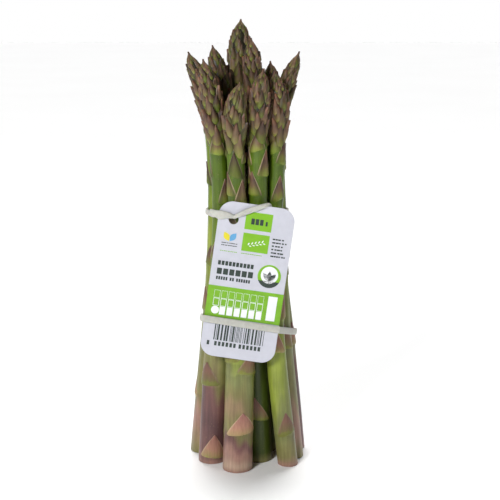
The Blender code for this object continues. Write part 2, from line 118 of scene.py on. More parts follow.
# Each spear's skin, and how green its scale leaves are, from 0 to 1.
SPEARS = {
    "spear_front": (BLUSHED, 0.75),
    "spear_front_left": (PURPLED, 0.05),
    "spear_left": (FAWN, 0.2),
    "spear_back_left": (PURPLED, 0.15),
    "spear_back": (FRESH, 0.6),
    "spear_back_inner": (FAWN, 0.3),
    "spear_back_right": (PURPLED, 0.1),
    "spear_right": (FAWN, 0.35),
    "spear_front_right": (FRESH, 0.1),
    "spear_front_inner": (SHADED, 0.15),
    "spear_middle_right": (SHADED, 0.0),
    "spear_middle_left": (FRESH, 0.3),
}

# ------------------------------------------------------------------------------ shaders


class Shader:
    """A material whose nodes are added one at a time, around one Principled BSDF."""

    def __init__(self, name, **constants):
        self.material = bpy.data.materials.new(name)
        self.material.use_nodes = True
        self.tree = self.material.node_tree
        self.surface = self.tree.nodes["Principled BSDF"]
        for key, value in constants.items():
            self.surface.inputs[key.replace("_", " ")].default_value = value

    def add(self, kind, inputs, output=0, **settings):
        made = self.tree.nodes.new("ShaderNode" + kind)
        for key, value in settings.items():
            setattr(made, key, value)
        for key, value in inputs.items():
            self.feed(made.inputs[key], value)
        return made.outputs[output]

    def feed(self, socket, value):
        if isinstance(value, bpy.types.NodeSocket):
            self.tree.links.new(value, socket)
        else:
            socket.default_value = value

    def number(self, name):
        return self.add("Attribute", {}, "Fac", attribute_name=name)

    def colour(self, name):
        return self.add("Attribute", {}, "Color", attribute_name=name)

    def noise(self, scale, stretch=(1, 1, 1), detail=3.0, roughness=0.55):
        place = self.add("TexCoord", {}, "Object")
        place = self.add("Mapping", {"Vector": place, "Scale": stretch})
        inputs = {"Vector": place, "Scale": scale, "Detail": detail, "Roughness": roughness}
        return self.add("TexNoise", inputs, "Fac")

    def ramp(self, value, *stops):
        made = self.tree.nodes.new("ShaderNodeValToRGB")
        elements = made.color_ramp.elements
        for _ in stops[2:]:
            elements.new(0.5)
        for element, (position, colour) in zip(elements, stops, strict=True):
            element.position = position
            grey = isinstance(colour, (int, float))
            element.color = (colour, colour, colour, 1) if grey else (*colour, 1)
        self.feed(made.inputs["Fac"], value)
        return made.outputs["Color"]

    def math(self, operation, a, b=0.0):
        return self.add("Math", {0: a, 1: b}, operation=operation)

    def mix(self, share, a, b, blend="MIX"):
        made = self.tree.nodes.new("ShaderNodeMix")
        made.data_type = "RGBA"
        made.blend_type = blend
        for key, value in (("Factor_Float", share), ("A_Color", a), ("B_Color", b)):
            socket = next(s for s in made.inputs if s.identifier == key)
            self.feed(socket, (*value, 1) if isinstance(value, tuple) else value)
        return next(s for s in made.outputs if s.identifier == "Result_Color")

    def bump(self, height, distance, strength=1.0):
        inputs = {"Height": height, "Distance": distance, "Strength": strength}
        self.feed(self.surface.inputs["Normal"], self.add("Bump", inputs))

    def paint(self, colour, roughness=None):
        self.feed(self.surface.inputs["Base Color"], colour)
        if roughness is not None:
            self.feed(self.surface.inputs["Roughness"], roughness)
        return self.material


def stem_material():
    """Waxy skin: the colour set on each stem, with its painted shading, fine striations up the stem
    that are partly painted shading of its fine ribs, mottling and a few specks, and the pale flesh
    of the cut end."""
    shader = Shader("stem_skin", Subsurface_Weight=0.1, Subsurface_Scale=0.0015)
    shader.surface.inputs["Subsurface Radius"].default_value = (1.0, 0.9, 0.3)
    shader.surface.inputs["Specular IOR Level"].default_value = 0.34
    streaks_and_rib_shading = shader.noise(900, (1, 1, 0.05), 3)
    mottle = shader.noise(140, (1, 1, 0.5), 4, 0.6)
    # Fine striations up the stem: partly the skin's own, partly painted shading of its fine ribs.
    tone = shader.ramp(streaks_and_rib_shading, (0.3, 0.74), (0.7, 1.06))
    colour = shader.mix(1.0, shader.colour("coat_and_painted_light"), tone, "MULTIPLY")
    colour = shader.mix(0.8, colour, shader.ramp(mottle, (0.3, 0.8), (0.7, 1.16)), "MULTIPLY")
    specks = shader.ramp(shader.noise(1500, (1, 1, 0.7), 1), (0.66, 0.0), (0.74, 1.0))
    colour = shader.mix(shader.math("MULTIPLY", specks, 0.25), colour, srgb(150, 130, 90))
    fibres = shader.noise(2600, (1, 1, 1), 2)
    flesh = shader.ramp(fibres, (0.35, srgb(150, 146, 100)), (0.65, srgb(205, 200, 158)))
    colour = shader.mix(shader.number("cut"), colour, flesh)
    fine = shader.math("MULTIPLY", streaks_and_rib_shading, 0.6)
    shader.bump(shader.math("ADD", fine, shader.math("MULTIPLY", mottle, 0.4)), 0.0003, 0.5)
    return shader.paint(colour, shader.ramp(mottle, (0.3, 0.32), (0.7, 0.48)))


def scale_material():
    """Scale leaves: green at the foot, brown and mauve above, with thin papery edges, and painted
    shading towards the sides of the head's leaves.
    """
    shader = Shader("scale_leaf", Subsurface_Weight=0.08, Subsurface_Scale=0.001)
    shader.surface.inputs["Specular IOR Level"].default_value = 0.28
    along, across, chance = (shader.number(name) for name in ("along", "across", "chance"))
    wander = shader.math("SUBTRACT", shader.noise(500, (1, 1, 0.4), 2), 0.5)
    place = shader.math("ADD", along, shader.math("MULTIPLY", wander, 0.35))
    shift = shader.math("MULTIPLY", shader.math("SUBTRACT", chance, 0.5), 0.3)
    place = shader.math("ADD", place, shift)
    dusk = shader.ramp(
        place,
        (0.08, srgb(116, 138, 36)), (0.3, srgb(112, 118, 42)), (0.44, srgb(94, 78, 50)),
        (0.72, srgb(68, 50, 44)), (1.0, srgb(124, 88, 64)),
    )
    fresh = shader.ramp(
        place,
        (0.1, srgb(118, 130, 50)), (0.45, srgb(108, 108, 54)), (0.65, srgb(96, 84, 56)),
        (1.0, srgb(98, 74, 60)),
    )
    rosy = shader.ramp(
        place,
        (0.04, srgb(150, 152, 72)), (0.14, srgb(150, 132, 88)), (0.5, srgb(160, 118, 98)),
        (1.0, srgb(142, 98, 88)),
    )
    colour = shader.mix(shader.number("freshness"), dusk, fresh)
    colour = shader.mix(shader.number("rose"), colour, rosy)
    # Head scales get painted shading towards their sides, where they dip between their neighbours.
    sides = shader.ramp(across, (0.25, 1.0), (0.8, 0.32))
    sides = shader.mix(shader.number("rose"), sides, (1.0, 1.0, 1.0))
    colour = shader.mix(1.0, colour, sides, "MULTIPLY")
    edge = shader.ramp(across, (0.8, 0.0), (0.97, 1.0))
    edge = shader.math("MULTIPLY", edge, shader.ramp(along, (0.05, 0.1), (0.35, 0.75)))
    colour = shader.mix(edge, colour, srgb(180, 158, 128))
    veins = shader.noise(1800, (1, 1, 0.08), 2)
    colour = shader.mix(1.0, colour, shader.ramp(veins, (0.3, 0.86), (0.7, 1.12)), "MULTIPLY")
    tone = shader.ramp(chance, (0.0, 0.45), (1.0, 1.2))
    colour = shader.mix(1.0, colour, tone, "MULTIPLY")
    shader.bump(veins, 0.0003, 0.6)
    return shader.paint(colour, shader.ramp(veins, (0.3, 0.38), (0.7, 0.55)))


def rubber_material():
    """Pale cream rubber, faintly dusty and finely grained."""
    shader = Shader("band_rubber", Subsurface_Weight=0.1, Subsurface_Scale=0.001)
    dust = shader.noise(700, detail=4)
    grain = shader.noise(4000, detail=2)
    colour = shader.ramp(dust, (0.3, srgb(172, 172, 164)), (0.7, srgb(184, 184, 176)))
    shader.bump(shader.math("ADD", shader.math("MULTIPLY", grain, 0.3), dust), 0.0001, 0.3)
    return shader.paint(colour, shader.ramp(dust, (0.3, 0.5), (0.7, 0.6)))


def card_material(name, colour, spread=0.03):
    """Coated card or the ink on it: nearly even, with the faint cloudiness of real stock."""
    shader = Shader(name)
    cloud = shader.noise(300, detail=5)
    light = tuple(min(1.0, c * (1 + spread)) for c in colour)
    dark = tuple(c * (1 - spread) for c in colour)
    grain = shader.noise(9000, detail=2)
    shader.bump(grain, 0.00004, 0.5)
    colour = shader.ramp(cloud, (0.35, dark), (0.65, light))
    return shader.paint(colour, shader.ramp(cloud, (0.35, 0.32), (0.65, 0.42)))


def floor_material():
    """Plain white paper, with hardly any cloudiness."""
    shader = Shader("floor", Roughness=0.9)
    light, lightest = srgb(253, 253, 253), srgb(255, 255, 255)
    return shader.paint(shader.ramp(shader.noise(3), (0.3, light), (0.7, lightest)))


# ------------------------------------------------------------------------ mesh building


def new_piece(name, points, faces, material, slot, numbers=None, colours=None, node=None):
    """A shown piece that rides on the root body, with named values on its points."""
    mesh = bpy.data.meshes.new(name)
    mesh.from_pydata([tuple(p) for p in points], [], faces)
    bm = bmesh.new()
    bm.from_mesh(mesh)
    bmesh.ops.recalc_face_normals(bm, faces=bm.faces)
    bm.to_mesh(mesh)
    bm.free()
    for key, values in (numbers or {}).items():
        mesh.attributes.new(key, "FLOAT", "POINT").data.foreach_set("value", values)
    for key, values in (colours or {}).items():
        layer = mesh.attributes.new(key, "FLOAT_COLOR", "POINT")
        layer.data.foreach_set("color", [c for value in values for c in (*value, 1.0)])
    mesh.shade_smooth()
    mesh.set_sharp_from_angle(angle=math.radians(50))
    made = bpy.data.objects.new(name, mesh)
    bpy.context.scene.collection.objects.link(made)
    return adopt(made, material, node)


def adopt(piece, material, node):
    """Gives a piece its material, its body and the node that it stands in for."""
    piece.data.materials.clear()
    piece.data.materials.append(material)
    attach(piece, "root")
    if node:
        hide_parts(node)
    return piece


def grid_faces(rows, columns, start=0, around=False):
    """Quads of a grid of points, row after row. One that goes around joins its last column
    to its first."""
    last = columns if around else columns - 1
    for row, column in itertools.product(range(rows - 1), range(last)):
        a = start + row * columns + column
        b = start + row * columns + (column + 1) % columns
        yield (a, b, b + columns, a + columns)


def smoothstep(share):
    """Eases from 0 to 1 as share goes from 0 to 1."""
    share = min(1.0, max(0.0, share))
    return share * share * (3 - 2 * share)


# ------------------------------------------------------------------------ spears: course

# What the rows of points on a spear's CAD solid look like. A full row has at least this many
# points, all within the slack of one height. In the head's lattice every other point stands
# proud by more than the step, and a row with no scale leaf is round to within the last value.
FULL_ROW = 12
ROW_SLACK = 0.02 * MM
LATTICE_STEP = 0.12 * MM
ROUND_ENOUGH = 0.22 * MM
# The head's leaves start where the radius is still this close to the neck's.
NECK_SLACK = 0.12 * MM


class Course:
    """The way a spear runs, measured on its CAD solid: middle and radius at each height."""

    def __init__(self, node):
        points = np.array([v.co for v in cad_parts[node].data.vertices], float)
        points = np.unique(np.round(points, 7), axis=0)
        rows, self.scales, in_scale = [], [], False
        for z in np.unique(np.round(points[:, 2], 5)):
            ring = points[np.abs(points[:, 2] - z) < ROW_SLACK][:, :2]
            if len(ring) < FULL_ROW:
                continue
            middle = self.circle_middle(ring)
            away = ring - middle
            order = np.argsort(np.arctan2(away[:, 1], away[:, 0]))
            reach = np.linalg.norm(away, axis=1)[order]
            uneven = reach.max() - reach.min()
            alternates = abs(reach[0::2].mean() - reach[1::2].mean()) > LATTICE_STEP
            if alternates or uneven < ROUND_ENOUGH:
                rows.append((z, *middle, reach.mean()))
                in_scale = False
            elif not in_scale:
                # The first uneven row is the raised foot of a scale leaf.
                raised = away[np.linalg.norm(away, axis=1) > reach.min() + 0.6 * uneven]
                self.scales.append((z, math.atan2(*raised.mean(axis=0)[::-1])))
                in_scale = True
        self.rows = np.array(rows)
        self.top = self.rows[-1, 0]
        # The head begins where the spear starts to swell above its narrowest part.
        heights, radii = self.rows[:, 0], self.rows[:, 3]
        upper = heights > 0.6 * self.top
        widest = heights[upper][radii[upper].argmax()]
        below = upper & (heights < widest)
        neck = radii[below].min() + NECK_SLACK
        self.head = heights[below & (radii < neck)].max()

    @staticmethod
    def circle_middle(ring):
        """The middle of the circle that fits the ring's points best."""
        sides = np.column_stack([2 * ring, np.ones(len(ring))])
        found = np.linalg.lstsq(sides, (ring**2).sum(axis=1), rcond=None)[0]
        return found[:2]

    def at(self, z):
        """(x, y, radius) at a height, on a smooth curve through the measured rows."""
        heights = self.rows[:, 0]
        z = min(max(z, heights[0]), heights[-1])
        k = min(int(np.searchsorted(heights, z, side="right")) - 1, len(heights) - 2)
        span = heights[k + 1] - heights[k]
        share = (z - heights[k]) / span
        low, high = self.rows[k, 1:], self.rows[k + 1, 1:]
        leave, arrive = self.slope(k) * span, self.slope(k + 1) * span
        blend = share * share * (3 - 2 * share)
        return (
            low + (high - low) * blend
            + leave * share * (1 - share) ** 2 - arrive * (1 - share) * share**2
        )

    def slope(self, k):
        """How fast the middle and the radius change with height at row k."""
        before, after = max(0, k - 1), min(len(self.rows) - 1, k + 1)
        step = self.rows[after] - self.rows[before]
        return step[1:] / step[0]

    def head_share(self, z):
        """How far up the head a height is: 0 at its foot and below, 1 at its tip."""
        return min(1.0, max(0.0, (z - self.head) / (self.top - self.head)))

    def core(self, z):
        """The radius under the scale leaves: the solid's own, but less on the head."""
        radius, share = self.at(z)[2], self.head_share(z)
        room = HEAD_SCALE_LIFT * smoothstep(share / HEAD_SCALE_START)
        return max(radius * LEAST_CORE, radius - room * head_scale_size(share))

    def point(self, z, angle, offset):
        """A point that stands off the core by offset."""
        x, y, _ = self.at(z)
        reach = self.core(z) + offset
        return (x + reach * math.cos(angle), y + reach * math.sin(angle), z)


# ------------------------------------------------------------------------- spears: stems

STEM_COLUMNS = 40
STEM_ROW_STEP = 1.3 * MM
CUT_BEVEL = 0.35 * MM
# The rows that round the rim of the cut end: (height, inset), as shares of the bevel.
BEVEL_ROWS = ((0.0, 1.0), (0.4, 0.35), (1.0, 0.0))
# The rings of the dished cut end: (share of its radius, depth in millimetres).
CUT_RINGS = ((0.86, 0.12), (0.5, 0.3), (0.18, 0.34))
# Where a CAD scale leaf is this close to a listed one, the listed one stands in for it.
LISTED_SPACE = 9 * MM
# Spears with listed leaves keep the CAD's only where the sine of their side is above this,
# which is round the sides and the back.
UNLISTED_SIDE = -0.2
RIB_HEIGHT = 0.05
# A node's ledge and the painted shadow below it and painted highlight above it, in millimetres
# and shares: what each has all round, and what it has more on the side of its scale leaf.
LEDGE, LEDGE_MORE, LEDGE_SPREAD = 0.06, 0.2, 1.3
PAINTED_SHADOW, PAINTED_SHADOW_MORE, PAINTED_SHADOW_DEPTH = 0.07, 0.16, 5
PAINTED_HIGHLIGHT_MORE, PAINTED_HIGHLIGHT_HEIGHT = 0.08, 4
# How far the bands of colour wander up and down, in millimetres, and the height over which
# they start to.
PATCH_DRIFT, LEAN_DRIFT, DRIFT_START = 12, 9, 32


def coat_at(stops, z):
    """The skin's colour at a height, eased between the stops."""
    height = z / MM
    for (low, first), (high, second) in itertools.pairwise(stops):
        if height < high:
            share = smoothstep((height - low) / (high - low))
            return tuple(a + (b - a) * share for a, b in zip(first, second, strict=True))
    return stops[-1][1]


def shaft_places(name, course):
    """(height, angle) of each scale leaf on a shaft: the listed ones that show, and the
    solid's own where there is none near."""
    places = [(z * MM, math.radians(side - 90)) for z, side in SHAFT_SCALES.get(name, ())]
    return places + [
        (z, side) for z, side in course.scales
        if all(abs(z - other) > LISTED_SPACE for other, _ in places)
        and (not places or math.sin(side) > UNLISTED_SIDE)
    ]


def node_relief(nodes, angle, z):
    """The low ledge of the nodes at a point, in millimetres, and the painted shading of the skin
    there:
    darker just below a node, lighter just above it.
    """
    ledge, painted_light = 0.0, 1.0
    for node, side in nodes:
        facing = 0.5 + 0.5 * math.cos(angle - side)
        above = (z - node) / MM + 0.5 * math.sin(3 * angle + node * 900)
        ledge += (LEDGE + LEDGE_MORE * facing) * math.exp(-((above / LEDGE_SPREAD) ** 2))
        # Painted shadow just below the node's ledge, and a painted highlight just above it.
        if -PAINTED_SHADOW_DEPTH < above < 0:
            painted_light -= (PAINTED_SHADOW + PAINTED_SHADOW_MORE * facing) * (1 + above / PAINTED_SHADOW_DEPTH)
        elif 0 <= above < PAINTED_HIGHLIGHT_HEIGHT:
            painted_light += PAINTED_HIGHLIGHT_MORE * facing * (1 - above / PAINTED_HIGHLIGHT_HEIGHT)
    return ledge, painted_light


def stem(name, course, stops, material, seed):
    """The skin from the cut end to the tip, faintly ribbed, with its own colours, painted shadow and
    highlight at the nodes, and painted shading under the head's leaves.
    """
    chance = random.Random(seed)
    phases = [chance.uniform(0, 2 * math.pi) for _ in range(3)]
    nodes = shaft_places(name, course)
    count = round(course.top / STEM_ROW_STEP)
    rows = [(CUT_BEVEL * up, CUT_BEVEL * inward) for up, inward in BEVEL_ROWS]
    rows += [(CUT_BEVEL + (course.top - CUT_BEVEL) * k / count, 0.0) for k in range(1, count + 1)]
    points, cut, coat_and_painted_light = [], [], []
    for z, inset in rows:
        x, y, _ = course.at(z)
        for column in range(STEM_COLUMNS):
            angle = 2 * math.pi * column / STEM_COLUMNS
            ribs = math.cos(3 * angle + phases[0]) + math.cos(7 * angle + phases[1] + z * 9)
            ribs += 0.8 * math.cos(11 * angle + phases[2])
            ledge, painted_light = node_relief(nodes, angle, z)
            relief = ribs * RIB_HEIGHT + ledge * smoothstep(z / (2 * MM))
            fade = 1 - smoothstep(course.head_share(z) / 0.3)
            reach = course.core(z) - inset + relief * MM * fade
            points.append((x + reach * math.cos(angle), y + reach * math.sin(angle), z))
            spot = (math.cos(angle) * 1.7 + seed, math.sin(angle) * 1.7, z * 50)
            drift = noise.noise(spot) * PATCH_DRIFT + LEAN_DRIFT * math.cos(angle - phases[0])
            tone = coat_at(stops, z + drift * MM * smoothstep(z / (DRIFT_START * MM)))
            # The skin is painted dark under the head's leaves: painted shading where it shows in the
            # gaps between them.
            under = smoothstep(course.head_share(z) / 0.12)
            coat_and_painted_light.append(tuple(
                (light + (dark - light) * under) * painted_light
                for light, dark in zip(tone, PAINTED_SHADE, strict=True)
            ))
            cut.append(0.0)
    faces = list(grid_faces(len(rows), STEM_COLUMNS, around=True))
    # The cut end is dished a little.
    x, y, radius = course.at(0)
    foot = len(points)
    for share, depth in CUT_RINGS:
        for column in range(STEM_COLUMNS):
            angle = 2 * math.pi * column / STEM_COLUMNS
            reach = (radius - CUT_BEVEL) * share
            points.append((x + reach * math.cos(angle), y + reach * math.sin(angle), depth * MM))
            coat_and_painted_light.append(stops[0][1])
            cut.append(1.0)
    faces += grid_faces(len(CUT_RINGS), STEM_COLUMNS, foot, around=True)
    faces += [
        (k, (k + 1) % STEM_COLUMNS, foot + (k + 1) % STEM_COLUMNS, foot + k)
        for k in range(STEM_COLUMNS)
    ]
    faces.append(tuple(range(len(points) - STEM_COLUMNS, len(points))))
    top = (len(rows) - 1) * STEM_COLUMNS
    faces.append(tuple(range(top, top + STEM_COLUMNS)))
    return new_piece(
        name.replace("spear", "stem"), points, faces, material, "spear",
        {"cut": cut}, {"coat_and_painted_light": coat_and_painted_light}, name,
    )


# ------------------------------------------------------------------ spears: scale leaves

LEAF_ROWS = 13
LEAF_COLUMNS = 9
GOLDEN_ANGLE = math.radians(137.5)
# How far the head's core lies under the CAD's head, to make room for its leaves, the share of
# the head over which it sinks, and the least share of the radius that stays.
HEAD_SCALE_LIFT = 1.6 * MM
HEAD_SCALE_START = 0.15
LEAST_CORE = 0.45
HEAD_SCALE_LENGTH = 13.0
HEAD_SCALE_HALF_WIDTH = 3.15
HEAD_SCALE_SHRINK = 0.62
SHAFT_SCALE_LENGTH = 12.5 * MM
# Leaves are thickest at the foot, sunk in the stem, and this thin where they are free.
SUNK_DEPTH = 0.5 * MM
LEAF_THICKNESS = 0.28 * MM
# Leaves lie closer over this much of the tip, so that it stays sharp.
TIP_FADE = 7 * MM
# Leaves are fully rosy up to the first height and lose this share of it over the stretch
# above, both in millimetres.
ROSY_TO, ROSY_FADE, ROSY_LOSS = 30, 110, 0.85


def head_scale_size(share):
    """How big the head's scale leaves are, from its foot to its tip."""
    return 1.0 - HEAD_SCALE_SHRINK * smoothstep(share)


def lift_curve(share, knots):
    """A smooth curve through (share, value) knots."""
    for (low, first), (high, second) in itertools.pairwise(knots):
        if share <= high:
            return first + (second - first) * smoothstep((share - low) / (high - low))
    return knots[-1][1]


def shaft_outline(share):
    """Half the width of a shaft's leaf, as a share: broad at the foot, a triangle above."""
    return min(1.0, (share / 0.05) ** 0.5) * (1 - share**1.25) + 0.03


def head_outline(share):
    """Half the width of a head's leaf: widest a third of the way up, pointed at both ends."""
    return math.sin(math.pi * min(1, share * 0.985 + 0.01) ** 0.62) ** 0.85 + 0.03


# A kind of leaf: its outline, how far it stands off the stem (share of its length,
# millimetres), how it falls off to its sides (depth and power) and how far the sides of its
# foot are drawn up.
LeafKind = namedtuple("LeafKind", "outline lift side_depth side_power arch")
SHAFT_LEAF = LeafKind(
    shaft_outline,
    ((0, -0.25), (0.03, 0.5), (0.1, 0.85), (0.3, 0.72), (0.7, 0.5), (1, 0.6)),
    0.6, 2, 0.0,
)
HEAD_LEAF = LeafKind(
    head_outline, ((0, -0.7), (0.12, 0.2), (0.36, 1.35), (0.7, 1.45), (1, 1.8)), 1.15, 1.8, 0.16
)


class Leaves:
    """Gathers one spear's scale leaves into one mesh."""

    def __init__(self, course):
        self.course = course
        self.points, self.faces = [], []
        self.numbers = {"along": [], "across": [], "chance": [], "freshness": [], "rose": []}

    def add(self, kind, z, angle, length, half_width, chance, size, skew, slant, freshness):
        """One leaf: an outer skin over an inner one that is sunk in the stem. Its tip is
        skewed to one side, and its foot slants."""
        rose = 1 - ROSY_LOSS * smoothstep((z / MM - ROSY_TO) / ROSY_FADE)
        start = len(self.points)
        for side in ("outer", "inner"):
            for row, column in itertools.product(range(LEAF_ROWS), range(LEAF_COLUMNS)):
                # Rows crowd together at the foot, where the leaf swells out of the stem.
                along = (row / (LEAF_ROWS - 1)) ** 1.35
                across = 2 * column / (LEAF_COLUMNS - 1) - 1
                height = z + along * length
                reach = max(self.course.core(min(height, self.course.top)), 0.8 * MM)
                turn = across * half_width * kind.outline(along) / reach + skew * along
                # A leaf lies lower at its sides, and closer all over near the spear's tip.
                bulge = 1 - kind.side_depth * abs(across) ** kind.side_power
                offset = lift_curve(along, kind.lift) * size * bulge * MM
                offset *= 0.25 + 0.75 * smoothstep((self.course.top - height) / TIP_FADE)
                if side == "inner":
                    free = smoothstep((along - 0.4) / 0.6)
                    offset = (offset - LEAF_THICKNESS) * free - SUNK_DEPTH * (1 - free)
                height += (1 - along) * across * slant * half_width
                height += (1 - along) * across**2 * kind.arch * length
                self.points.append(self.course.point(height, angle + turn, offset))
                values = (along, abs(across), chance, freshness, rose)
                for column_values, value in zip(self.numbers.values(), values, strict=True):
                    column_values.append(value)
        count = LEAF_ROWS * LEAF_COLUMNS
        self.faces += grid_faces(LEAF_ROWS, LEAF_COLUMNS, start)
        self.faces += grid_faces(LEAF_ROWS, LEAF_COLUMNS, start + count)
        rim = [start + column for column in range(LEAF_COLUMNS)]
        rim += [start + row * LEAF_COLUMNS + LEAF_COLUMNS - 1 for row in range(1, LEAF_ROWS)]
        rim += [start + count - 1 - column for column in range(1, LEAF_COLUMNS)]
        rim += [start + row * LEAF_COLUMNS for row in range(LEAF_ROWS - 2, 0, -1)]
        ahead = rim[1:] + rim[:1]
        self.faces += [(a, b, b + count, a + count) for a, b in zip(rim, ahead, strict=True)]


def scale_leaves(name, course, freshness, material, seed):
    """All of a spear's leaves: those at its nodes, then a spiral of them up its head."""
    chance = random.Random(seed)
    leaves = Leaves(course)
    angle = chance.uniform(0, 2 * math.pi)
    for z, side in shaft_places(name, course):
        radius = course.at(z)[2]
        length = SHAFT_SCALE_LENGTH * chance.uniform(0.9, 1.15)
        width = radius * math.radians(chance.uniform(56, 68))
        leaves.add(
            SHAFT_LEAF, z - 0.4 * MM, side, length, width, chance.random(),
            1.0, chance.uniform(-0.12, 0.12), chance.uniform(-0.28, 0.28), freshness,
        )
        angle = side
    z = course.head - 3 * MM
    while z < course.top - 2.6 * MM:
        share = course.head_share(z)
        size = head_scale_size(share)
        angle += GOLDEN_ANGLE + chance.uniform(-0.2, 0.2)
        length = (HEAD_SCALE_LENGTH * size + chance.uniform(-1.6, 1.6)) * MM
        length = min(length, course.top + 0.15 * MM - z)
        width = (HEAD_SCALE_HALF_WIDTH * size + chance.uniform(-0.3, 0.4)) * MM
        leaves.add(
            HEAD_LEAF, z, angle, length, width, chance.random(), size * chance.uniform(0.8, 1.5),
            chance.uniform(-0.14, 0.14), chance.uniform(-0.3, 0.3),
            freshness + chance.uniform(-0.1, 0.35),
        )
        z += (0.25 + 0.75 * (1 - share)) * chance.uniform(0.6, 1.4) * MM
    return new_piece(
        name.replace("spear", "scales"), leaves.points, leaves.faces, material, "spear",
        leaves.numbers,
    )


# --------------------------------------------------------------------------------- bands

# The strands of the upper band over the card: (across, up, out of the card's front, width),
# in millimetres from the card's lower left corner. They meet in the card's hole.
STRANDS = (
    (
        (-4.5, 72.6, -1.1, 2.9), (-2.0, 72.3, 0.3, 3.3), (0.8, 71.9, 0.8, 4.5),
        (4.0, 72.2, 0.9, 3.4), (6.6, 72.0, 0.7, 2.4), (8.2, 71.6, -0.2, 1.7), (8.8, 71.3, -1.4, 1.4),
    ),
    (
        (7.4, 71.2, -1.3, 1.4), (8.2, 71.9, 0.4, 1.8), (11.0, 73.7, 1.0, 2.5),
        (15.0, 76.0, 0.9, 2.9), (19.0, 78.0, 0.9, 2.7), (22.4, 79.6, 0.7, 2.3),
        (24.0, 80.2, -0.3, 2.0), (24.8, 79.7, -1.5, 1.9), (25.3, 78.0, -2.1, 1.8),
    ),
)
STRAND_THICKNESS = 1.0
# The part of the CAD band over the card that the strands replace: right of the first, between
# the next two up the card, and above the last off its front, in the card's millimetres.
HITCH_LEFT, HITCH_LOW, HITCH_HIGH, HITCH_BACK = -3.2, 66, 84, -2.2


def strand(card, knots):
    """Points and faces of one flat, round-edged strand that follows the knots."""
    rows, columns = 40, 12
    spots = np.array(knots, float)
    marks = np.linspace(0, len(spots) - 1, rows)
    fine = np.array([[catmull_rom(spots[:, k], mark) for k in range(4)] for mark in marks])
    points = []
    for k, (x, y, out, width) in enumerate(fine):
        ahead = fine[min(k + 1, rows - 1), :3] - fine[max(k - 1, 0), :3]
        ahead = Vector(ahead).normalized()
        side = Vector((-ahead.y, ahead.x, 0)).normalized()
        lift = side.cross(ahead)
        lift = lift if lift.z > 0 else -lift
        for column in range(columns):
            turn = 2 * math.pi * column / columns
            # The powers make the section squarer than an ellipse.
            reach = math.copysign(abs(math.cos(turn)) ** 0.6, math.cos(turn)) * width / 2
            rise = math.copysign(abs(math.sin(turn)) ** 0.8, math.sin(turn)) * STRAND_THICKNESS / 2
            spot = Vector((x, y, out)) + side * reach + lift * rise
            points.append(card.printed(spot.x, spot.y, card.thickness / 2 + spot.z * MM))
    faces = list(grid_faces(rows, columns, around=True))
    faces += [tuple(range(columns)), tuple(range((rows - 1) * columns, rows * columns))]
    return points, faces


def catmull_rom(values, mark):
    """A Catmull-Rom curve through evenly spaced values."""
    k = min(int(mark), len(values) - 2)
    share = mark - k
    last = len(values) - 1
    before, low, high, after = (values[min(max(k + n, 0), last)] for n in (-1, 0, 1, 2))
    return 0.5 * (
        2 * low + (high - before) * share + (2 * before - 5 * low + 4 * high - after) * share**2
        + (3 * low - before - 3 * high + after) * share**3
    )


def smooth_band(name, material, card=None):
    """The CAD band's own mesh, welded and subdivided so that its edges are rolled. Over the
    card it is opened, for the strands to take its place."""
    bm = bmesh.new()
    bm.from_mesh(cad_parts[name].data)
    bmesh.ops.remove_doubles(bm, verts=bm.verts, dist=1e-6)
    bmesh.ops.join_triangles(
        bm, faces=bm.faces,
        angle_face_threshold=math.radians(30), angle_shape_threshold=math.radians(60),
    )
    if card:
        gone = []
        for vert in bm.verts:
            x, y, out = card.measure(vert.co)
            if x > HITCH_LEFT and HITCH_LOW < y < HITCH_HIGH and out > HITCH_BACK:
                gone.append(vert)
        bmesh.ops.delete(bm, geom=gone, context="VERTS")
        bmesh.ops.holes_fill(bm, edges=[e for e in bm.edges if e.is_boundary])
    mesh = bpy.data.meshes.new(name + "_rubber")
    bm.to_mesh(mesh)
    bm.free()
    mesh.shade_smooth()
    made = bpy.data.objects.new(name + "_rubber", mesh)
    bpy.context.scene.collection.objects.link(made)
    rounding = made.modifiers.new("rounding", "SUBSURF")
    rounding.levels = rounding.render_levels = 2
    return adopt(made, material, name)


# ----------------------------------------------------------------------------------- tag


